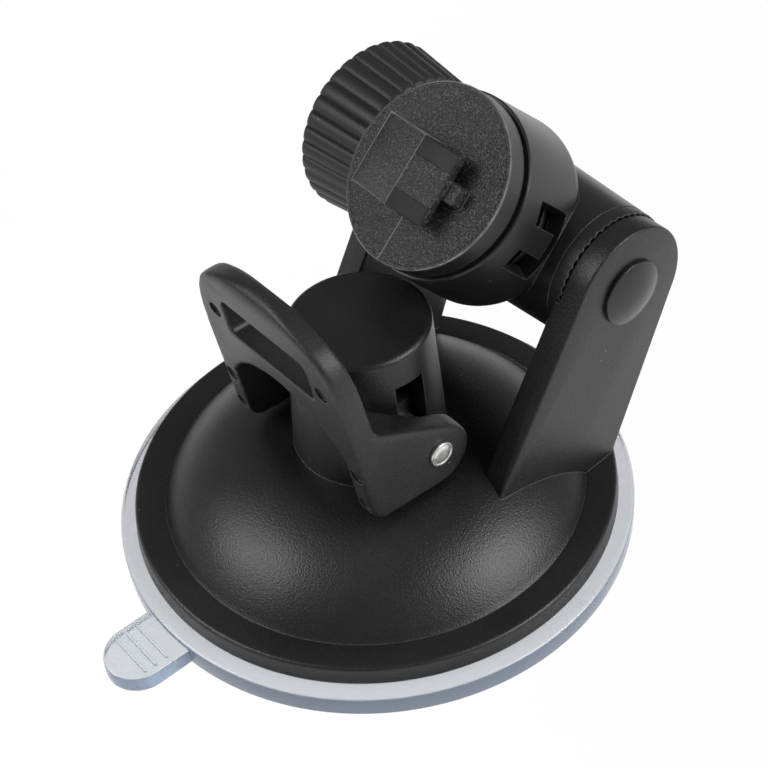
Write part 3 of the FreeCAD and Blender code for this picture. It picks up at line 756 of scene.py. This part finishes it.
def lever_blank(half):
    """Leaning plate with a cheek reaching back to the pin, as wide as the whole lever."""
    slope = math.radians(CHEEK_SLOPE)
    top = (CHEEK_END[0] + CHEEK_END_R * math.sin(slope), CHEEK_END[1] + CHEEK_END_R * math.cos(slope))
    run = top[0] - plate_y(top[1]) - PLATE_THICK
    corner_z = top[1] + run * math.tan(slope) / (1 + PLATE_LEAN * math.tan(slope))
    start = (CHEEK_END[0], CHEEK_END[1] - CHEEK_END_R)
    back = PLATE_TOP[0] + PLATE_THICK
    outline = rounded([
        (*start, 0.0), (*PLATE_LOW, 2.3), (*PLATE_TOP, 1.5), (back, PLATE_TOP[1], 1.5),
        (plate_y(corner_z) + PLATE_THICK, corner_z, 1.5), (*top, 0.0)], 8)
    outline += arc(CHEEK_END, CHEEK_END_R, 90 - CHEEK_SLOPE, -90, 16)[1:-1]
    return prism("lever_fork", outline, -half, half, "X")


def crowned(half, height, drop, steps):
    """Arc of a bow as wide as 2 * half that falls by drop at its ends, with its middle at height."""
    radius = (half ** 2 + drop ** 2) / (2 * drop)
    sweep = math.degrees(math.asin(half / radius))
    return arc((0.0, height - radius), radius, 90 - sweep, 90 + sweep, steps)


def shoulder(side):
    """Curve from the straight side of the lever up to its top corner, in drawing order."""
    start, middle, end = Vector((LEVER_HALF, SHOULDER_Z)), Vector(SHOULDER_MIDDLE), Vector(CORNER)
    steps = 12
    points = []
    for i in range(steps + 1):
        share = i / steps
        weights = ((1 - share) * (1 - 2 * share), 4 * share * (1 - share), share * (2 * share - 1))
        point = start * weights[0] + middle * weights[1] + end * weights[2]
        points.append((side * point.x, point.y))
    return points if side > 0 else points[::-1]


def dimple(x, z):
    """Cutter for one shallow round mark in the lever's front face."""
    tilt = Matrix.Rotation(math.radians(DIMPLE_TILT), 4, "X")
    place = Matrix.Translation((x, plate_y(z) + DIMPLE_DEPTH, z)) @ tilt
    return rod("dimple", DIMPLE_R, 0.0, 2.0, place, 32)


def build_lever():
    """Fork with soft edges: side view crossed with front view, then skinned evenly."""
    body = lever_blank(LEVER_HALF)
    crown = crowned(CORNER[0], PLATE_TOP[1], PLATE_TOP[1] - CORNER[1], 24)
    below = 5.0
    front_view = [(-LEVER_HALF, below), (LEVER_HALF, below)] + shoulder(1) + crown[1:-1] + shoulder(-1)
    combine(body, [prism("front", front_view, -REACH, REACH, "Y")], "INTERSECT")
    remesh(body, *FIRST_SKIN)
    arch = [(-LEVER_INNER, 0.0), (LEVER_INNER, 0.0)]
    arch += crowned(LEVER_INNER, ARCH_TOP, ARCH_TOP - ARCH_SPRING, 24)
    low, high = SLOT_Z
    left, right = -SLOT_HALF, SLOT_HALF
    slot = rounded([(left, low, 0.8), (right, low, 0.8), (right, high, 1.2), (left, high, 1.2)])
    cuts = [prism("arch", arch, -REACH, REACH, "Y"), prism("slot", slot, -REACH, REACH, "Y")]
    combine(body, cuts, "DIFFERENCE")
    remesh(body, *LAST_SKIN)
    cuts = [rod("hole", LEVER_HOLE_R, -REACH, REACH, Matrix.Translation(PIN) @ ALONG_X, 48)]
    for x, z in DIMPLES:
        cuts += [dimple(-x, z), dimple(x, z)]
    combine(body, cuts, "DIFFERENCE")
    shade(body, 40)
    finish_piece(body, "lever", ["lever"], LEVER)


build_lever()


# ---------------------------------------------------------------- spring inside the post

SPRING_LOW, SPRING_HIGH = mm_box("stem_spring")
SPRING_WIRE_R = 0.4
SPRING_TURNS = 4.5
SPRING_SMALL_R = 3.4


def build_spring():
    """Cone spring between the stem and the post's ceiling."""
    wide_r = SPRING_HIGH.x - SPRING_WIRE_R
    low = SPRING_LOW.z + SPRING_WIRE_R
    height = SPRING_HIGH.z - SPRING_WIRE_R - low
    steps = 160
    sides = 12
    verts = []
    for i in range(steps + 1):
        share = i / steps
        turn = 2 * math.pi * SPRING_TURNS * share
        radius = SPRING_SMALL_R + (wide_r - SPRING_SMALL_R) * share
        for k in range(sides):
            angle = 2 * math.pi * k / sides
            out = radius + SPRING_WIRE_R * math.cos(angle)
            up = low + height * share + SPRING_WIRE_R * math.sin(angle)
            verts.append((out * math.cos(turn), out * math.sin(turn), up))
    faces = [tuple(range(sides)), tuple(range(steps * sides, (steps + 1) * sides))[::-1]]
    for i in range(steps):
        for k in range(sides):
            m = (k + 1) % sides
            faces.append((i * sides + k, (i + 1) * sides + k, (i + 1) * sides + m, i * sides + m))
    coil = shade(add_object("stem_spring_coil", verts, faces))
    finish_piece(coil, "stem", ["stem_spring"], SPRING)
    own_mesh(coil)


build_spring()


# ---------------------------------------------------------------- lever pin

PIN_R = 1.5
PIN_HEAD_R = 1.65


def build_pin():
    """Pin with a stepped, slightly domed head."""
    head_x = PIN_HIGH.x
    profile = [
        (0.0, PIN_LOW.x), (PIN_R - 0.2, PIN_LOW.x), (PIN_R, PIN_LOW.x + 0.2), (PIN_R, LEVER_HALF + 0.02),
        (PIN_HEAD_R - 0.03, LEVER_HALF + 0.03), (PIN_HEAD_R, LEVER_HALF + 0.1), (PIN_HEAD_R, head_x - 0.16),
        (1.58, head_x - 0.06), (1.42, head_x - 0.05), (1.32, head_x - 0.12), (1.24, head_x - 0.1),
        (1.1, head_x - 0.02), (0.6, head_x), (0.0, head_x)]
    pin = shade(lathe("lever_pin_steel", profile, Matrix.Translation((0, PIN.y, PIN.z)) @ ALONG_X, 64))
    finish_piece(pin, "stem", ["lever_pin"], STEEL)


build_pin()


# ---------------------------------------------------------------- hinge cap, knob and tooth rings

CAP_PEG_R = 1.2
CAP_SKIRT = 0.42


def build_cap():
    """Domed cap with a peg that plugs the bolt's socket."""
    radius = (CAP_HIGH.y - CAP_LOW.y) / 2
    rise = CAP_HIGH.x - ARM_OUTER_X
    crown = rise - 0.5
    sphere_r = (radius ** 2 + crown ** 2) / (2 * crown)
    steps = 10
    dome = []
    for i in range(steps):
        r = radius * (1 - i / steps) if i else radius - 0.06
        dome.append((r, ARM_OUTER_X + rise - sphere_r + math.sqrt(sphere_r ** 2 - r ** 2)))
    profile = [
        (0.0, CAP_LOW.x), (CAP_PEG_R, CAP_LOW.x), (CAP_PEG_R, ARM_OUTER_X), (radius - 0.05, ARM_OUTER_X),
        (radius, ARM_OUTER_X + 0.1), (radius, ARM_OUTER_X + CAP_SKIRT), *dome, (0.0, CAP_HIGH.x)]
    cap = shade(lathe("bolt_cap_dome", profile, ON_HINGE, 96))
    finish_piece(cap, "base", ["bolt_cap"], CAP)


KNOB_LOBES = 34
KNOB_NEAR_R = 11.0
KNOB_FAR_R = 12.0
KNOB_ROUND = 0.9
KNOB_GROOVE = 0.7
# A groove's sharpness, and the share of its depth at the knob's ends and how far in it is full.
GROOVE_POWER = 2.6
GROOVE_SHARE = 0.25
GROOVE_NEAR_RUN = 1.4
GROOVE_FAR_RUN = 1.0
NUT_R = 3.2
NUT_DEPTH = 9.0


def knob_sections(length):
    """Radius and depth down the knob's flared side, with a rounded edge at each end."""
    sections = []
    for angle in range(0, 91, 15):
        turn = math.radians(angle)
        radius = KNOB_NEAR_R - KNOB_ROUND + KNOB_ROUND * math.sin(turn)
        sections.append((radius, KNOB_ROUND - KNOB_ROUND * math.cos(turn)))
    for i in range(1, 9):
        share = i / 9
        radius = KNOB_NEAR_R + (KNOB_FAR_R - KNOB_NEAR_R) * share
        sections.append((radius, KNOB_ROUND + (length - 2 * KNOB_ROUND) * share))
    for angle in range(0, 91, 15):
        turn = math.radians(angle)
        radius = KNOB_FAR_R - KNOB_ROUND + KNOB_ROUND * math.cos(turn)
        sections.append((radius, length - KNOB_ROUND + KNOB_ROUND * math.sin(turn)))
    return sections


def build_knob():
    """Grip with round lobes and narrow grooves, flared away from the arm."""
    per_lobe = 14
    around = KNOB_LOBES * per_lobe
    length = KNOB_HIGH.x - KNOB_LOW.x
    sections = knob_sections(length)
    verts = []
    faces = []
    for radius, depth in sections:
        near = GROOVE_SHARE + depth / GROOVE_NEAR_RUN
        far = GROOVE_SHARE + (length - depth) / GROOVE_FAR_RUN
        reach = max(0.0, min(1.0, near, far))
        for i in range(around):
            angle = 2 * math.pi * i / around
            phase = abs((i % per_lobe) / per_lobe - 0.5) * 2
            groove = 1.0 - math.sqrt(1.0 - 0.97 * phase ** GROOVE_POWER)
            r = radius - KNOB_GROOVE * groove * reach
            verts.append((r * math.cos(angle), r * math.sin(angle), -depth))
    for j in range(len(sections) - 1):
        for i in range(around):
            k = (i + 1) % around
            faces.append((j * around + i, j * around + k, (j + 1) * around + k, (j + 1) * around + i))
    start = len(verts)
    for depth in (0.0, NUT_DEPTH):
        for i in range(around):
            angle = 2 * math.pi * i / around
            verts.append((NUT_R * math.cos(angle), NUT_R * math.sin(angle), -depth))
    inner_end = len(verts)
    outer_end = inner_end + 1
    verts += [(0.0, 0.0, -NUT_DEPTH), (0.0, 0.0, -length)]
    last = (len(sections) - 1) * around
    for i in range(around):
        k = (i + 1) % around
        faces.append((i, k, start + k, start + i))
        faces.append((start + i, start + k, start + around + k, start + around + i))
        faces.append((start + around + i, start + around + k, inner_end))
        faces.append((last + i, last + k, outer_end))
    place = Matrix.Translation((KNOB_HIGH.x, HINGE.y, HINGE.z)) @ ALONG_X
    grip = shade(add_object("knob_grip", verts, faces, place), 50)
    finish_piece(grip, "knob", ["knob"], KNOB)


RING_TEETH = 48
RING_INNER_R = 5.0
RING_R = 8.75
RING_EDGE_WAVE = 0.14
RING_FACE_WAVE = 0.24


def build_tooth_rings():
    """Serrated rings: their outer faces rise and fall around the barrel's ends."""
    per_tooth = 8
    around = RING_TEETH * per_tooth
    for side, node in ((-1, "tooth_ring_left"), (1, "tooth_ring_right")):
        inner_x = RING_LOW.x
        outer_x = RING_HIGH.x
        verts = []
        faces = []
        rows = (
            (RING_INNER_R, inner_x, 0.0), (RING_R, inner_x, 0.0), (RING_R, outer_x - 0.3, RING_EDGE_WAVE),
            (RING_R - 0.07, outer_x, RING_FACE_WAVE), (RING_INNER_R, outer_x, RING_FACE_WAVE))
        for radius, x, wave in rows:
            for i in range(around):
                angle = 2 * math.pi * i / around
                tooth = 0.5 + 0.5 * math.cos(2 * math.pi * i / per_tooth)
                verts.append((radius * math.cos(angle), radius * math.sin(angle), side * (x - wave * tooth)))
        for j in range(len(rows)):
            for i in range(around):
                k = (i + 1) % around
                m = (j + 1) % len(rows)
                faces.append((j * around + i, j * around + k, m * around + k, m * around + i))
        ring = shade(add_object(node + "_serrated", verts, faces, ON_HINGE))
        finish_piece(ring, "head", [node], RING)


build_cap()
build_knob()
build_tooth_rings()


# ---------------------------------------------------------------- head

SHELL_BACK = 4.6
SHELL_FRONT = 17.45
SHELL_R = 11.7
SHELL_BACK_R = 12.1
SHELL_ROUND = 2.9
BORE_R = 9.8
FLOOR = 8.4
BARREL_END_X = 13.7
BARREL_END_R = 8.8
BARREL_MIDDLE_R = 9.38
BARREL_MIDDLE_HALF = 0.6
SLEEVE_HOLE_R = 3.05
LATCH_BACK = 8.9
LATCH_FRONT = 14.15
LATCH_SLIT = 1.0
LATCH_ANGLES = (7.9, 21.8)
LATCH_SLIT_ANGLE = 20.0
LATCH_INNER_R = 8.2
LATCH_OUTER_R = 14.5


def latch_cut(low, high, front, spin):
    """Cutter for a sector of the shell's wall between two angles."""
    sector = arc((0.0, 0.0), LATCH_INNER_R, high, low, 6) + arc((0.0, 0.0), LATCH_OUTER_R, low, high, 6)
    return prism("latch_cut", sector, LATCH_BACK, front, "Z", spin)


def build_head():
    """Cup that holds the disc, with the hinge barrel across its back and a latch tongue on each side."""
    profile = (
        [(0.0, SHELL_BACK)]
        + arc((SHELL_BACK_R - SHELL_ROUND, SHELL_BACK + SHELL_ROUND), SHELL_ROUND, -90, 2, 12)
        + [(SHELL_R, SHELL_FRONT - 0.18), (SHELL_R - 0.18, SHELL_FRONT), (BORE_R + 0.5, SHELL_FRONT)]
        + [(BORE_R, SHELL_FRONT - 0.5), (BORE_R, FLOOR), (0.0, FLOOR)]
    )
    shell = lathe("head_housing_shell", profile, TO_HEAD, 160)
    barrel_profile = [
        (0.0, -BARREL_END_X), (BARREL_END_R, -BARREL_END_X), (BARREL_MIDDLE_R, -BARREL_MIDDLE_HALF),
        (BARREL_MIDDLE_R, BARREL_MIDDLE_HALF), (BARREL_END_R, BARREL_END_X), (0.0, BARREL_END_X)]
    barrel = lathe("barrel", barrel_profile, ON_HINGE, 128)
    combine(barrel, [rod("cavity", BORE_R, FLOOR, REACH, TO_HEAD, 160)], "DIFFERENCE")
    combine(shell, [barrel], "UNION")
    cuts = [rod("bore", SLEEVE_HOLE_R, -REACH, REACH, ON_HINGE, 64)]
    near, far = LATCH_ANGLES
    for turn in (0, 180):
        spin = TO_HEAD @ Matrix.Rotation(math.radians(turn), 4, "Z")
        cuts.append(latch_cut(near, far, LATCH_FRONT, spin))
        cuts.append(latch_cut(-far, -near, LATCH_FRONT, spin))
        cuts.append(latch_cut(-LATCH_SLIT_ANGLE, LATCH_SLIT_ANGLE, LATCH_BACK + LATCH_SLIT, spin))
    combine(shell, cuts, "DIFFERENCE")
    shade(shell)
    finish_piece(shell, "head", ["head_housing"], SHELL)


HUB_R = 9.6
HUB_BACK = 9.5
HUB_BORE_R = 6.5
HUB_BORE_FRONT = 16.6
GROOVE_R = 9.0
GROOVE = (9.9, 12.1)
DISC_BACK = 18.05
BEAD_RISE = 0.12
HOOK_START = 0.2
NECK_ENDS = (-0.3, 6.7)
NECK_SIDES = (-1.3, 1.0)


def build_disc():
    """Grained face with its raised edge, the hub behind it and the hooked camera foot."""
    profile = [
        (0.0, HUB_BORE_FRONT), (HUB_BORE_R, HUB_BORE_FRONT), (HUB_BORE_R, HUB_BACK), (HUB_R - 0.2, HUB_BACK),
        (HUB_R, HUB_BACK + 0.2), (HUB_R, GROOVE[0]), (GROOVE_R, GROOVE[0]), (GROOVE_R, GROOVE[1]),
        (HUB_R, GROOVE[1]), (HUB_R, DISC_BACK), (DISC_R - 0.2, DISC_BACK), (DISC_R, DISC_BACK + 0.2),
        (DISC_R, DISC_FACE - 0.1), (DISC_R - 0.12, DISC_FACE + 0.09), (DISC_R - 0.4, DISC_FACE + BEAD_RISE),
        (DISC_R - 0.58, DISC_FACE + 0.02), (DISC_R - 0.7, DISC_FACE), (0.0, DISC_FACE)]
    disc = lathe("swivel_disc_face", profile, TO_HEAD, 160)
    root = DISC_FACE - 0.4
    side = [
        (FOOT_ENDS[0], root), (FOOT_ENDS[0], DISC_FACE + 0.06), (FOOT_CREASE, FOOT_TOP),
        (FOOT_ENDS[1], FOOT_TOP), (FOOT_ENDS[1], FOOT_LIP), (HOOK_START, FOOT_LIP), (HOOK_START, root)]
    hook = soften(prism("hook", side, *FOOT_SIDES, "Y", TO_HEAD), 0.2, 3, 30)
    left, right = NECK_ENDS
    near, far = NECK_SIDES
    block = rounded([(left, near, 0.0), (right, near, 0.35), (right, far, 0.35), (left, far, 0.0)], 4)
    neck = soften(prism("neck", block, root, FOOT_LIP + 0.3, "Z", TO_HEAD), 0.15, 2)
    combine(disc, [hook, neck], "UNION")
    shade(disc)
    finish_piece(disc, "swivel", ["swivel_disc"], FACE)


build_head()
build_disc()


# ---------------------------------------------------------------- CAD parts that keep their own shape

CAD_FINISH = {
    "cup_core": ACETAL, "plunger_stem": RUBBER, "pin_clip": SPRING, "hinge_bolt": STEEL,
    "hinge_sleeve": STEEL, "knob_washer": STEEL, "knob_nut": BRASS, "friction_ring": RUBBER,
    "wave_washer": SPRING}
for node, material in CAD_FINISH.items():
    wear(frame["nodes"][node], material)


# ---------------------------------------------------------------- floor, light and camera

FLOOR_HALF = 900.0
FLOOR_Z = -0.02
# The floor's and sky's brightness in reflections; the camera itself sees both as white.
FLOOR_GLOW = 1.0
SKY_GLOW = 0.24
# Each light's name, azimuth and elevation in degrees, size in metres and power in watts.
SOFTBOXES = (("left", -33, 42, 1.0, 18.0), ("right", 120, 35, 1.2, 28.0))
LIGHT_TARGET = Vector((0.0, 0.004, 0.022))
LIGHT_DISTANCE = 2.0


def build_stage():
    """White floor that fades into the background."""
    corners = ((-1, -1), (1, -1), (1, 1), (-1, 1))
    verts = [(x * FLOOR_HALF, y * FLOOR_HALF, FLOOR_Z) for x, y in corners]
    floor = add_object("floor", verts, [(0, 1, 2, 3)])
    g = Graph("floor_white")
    g.tree.nodes.remove(g.shader)
    glow = g.add("ShaderNodeEmission")
    seen = g.add("ShaderNodeLightPath").outputs["Is Camera Ray"]
    cloud = g.remap(g.noise(0.004, 2.0), 0.3, 0.7, 0.97, 1.03)
    g.put(g.math("MULTIPLY", g.remap(seen, 0.0, 1.0, FLOOR_GLOW, 1.0), cloud), glow.inputs["Strength"])
    g.put(glow.outputs["Emission"], g.tree.nodes["Material Output"].inputs["Surface"])
    floor.data.materials.append(g.material)


def add_softbox(name, azimuth, elevation, size, power):
    """Square light facing the object; azimuth 0 is over -Y and 90 over +X."""
    turn = math.radians(azimuth)
    rise = math.radians(elevation)
    away = Vector((math.sin(turn) * math.cos(rise), -math.cos(turn) * math.cos(rise), math.sin(rise)))
    data = bpy.data.lights.new(name, "AREA")
    data.size = size
    data.energy = power
    lamp = bpy.data.objects.new(name, data)
    lamp.location = LIGHT_TARGET + away * LIGHT_DISTANCE
    lamp.rotation_euler = away.to_track_quat("Z", "Y").to_euler()
    bpy.context.scene.collection.objects.link(lamp)


def build_light():
    """Even dim sky and the softboxes."""
    world = bpy.data.worlds.new("studio")
    bpy.context.scene.world = world
    world.use_nodes = True
    tree = world.node_tree
    background = tree.nodes["Background"]
    background.inputs["Color"].default_value = (1.0, 1.0, 1.0, 1.0)
    path = tree.nodes.new("ShaderNodeLightPath")
    strength = tree.nodes.new("ShaderNodeMapRange")
    strength.inputs["To Min"].default_value = SKY_GLOW
    strength.inputs["To Max"].default_value = 1.0
    tree.links.new(path.outputs["Is Camera Ray"], strength.inputs["Value"])
    tree.links.new(strength.outputs["Result"], background.inputs["Strength"])
    for softbox in SOFTBOXES:
        add_softbox(*softbox)


# The camera's place, its angles in degrees, its lens in millimetres and its shift in picture widths.
EYE = Vector((118.69, -83.25, 162.5))
VIEW_AZIMUTH = 50.95
VIEW_ELEVATION = 43.59
VIEW_ROLL = -3.73
SENSOR = 36.0
LENS = 78.1
LENS_SHIFT = (-0.0827, -0.0345)


def build_camera():
    """Long lens looking down on the mount from its front right."""
    data = bpy.data.cameras.new("camera")
    data.sensor_width = SENSOR
    data.lens = LENS
    data.shift_x, data.shift_y = LENS_SHIFT
    data.clip_start = 0.01
    camera = bpy.data.objects.new("camera", data)
    turn = Matrix.Rotation(math.radians(VIEW_AZIMUTH), 4, "Z")
    nod = Matrix.Rotation(math.radians(90 - VIEW_ELEVATION), 4, "X")
    roll = Matrix.Rotation(math.radians(VIEW_ROLL), 4, "Z")
    camera.matrix_world = Matrix.Translation(EYE * MM) @ turn @ nod @ roll
    bpy.context.scene.collection.objects.link(camera)
    bpy.context.scene.camera = camera


build_stage()
build_light()
build_camera()
bpy.context.scene.view_settings.view_transform = "Standard"
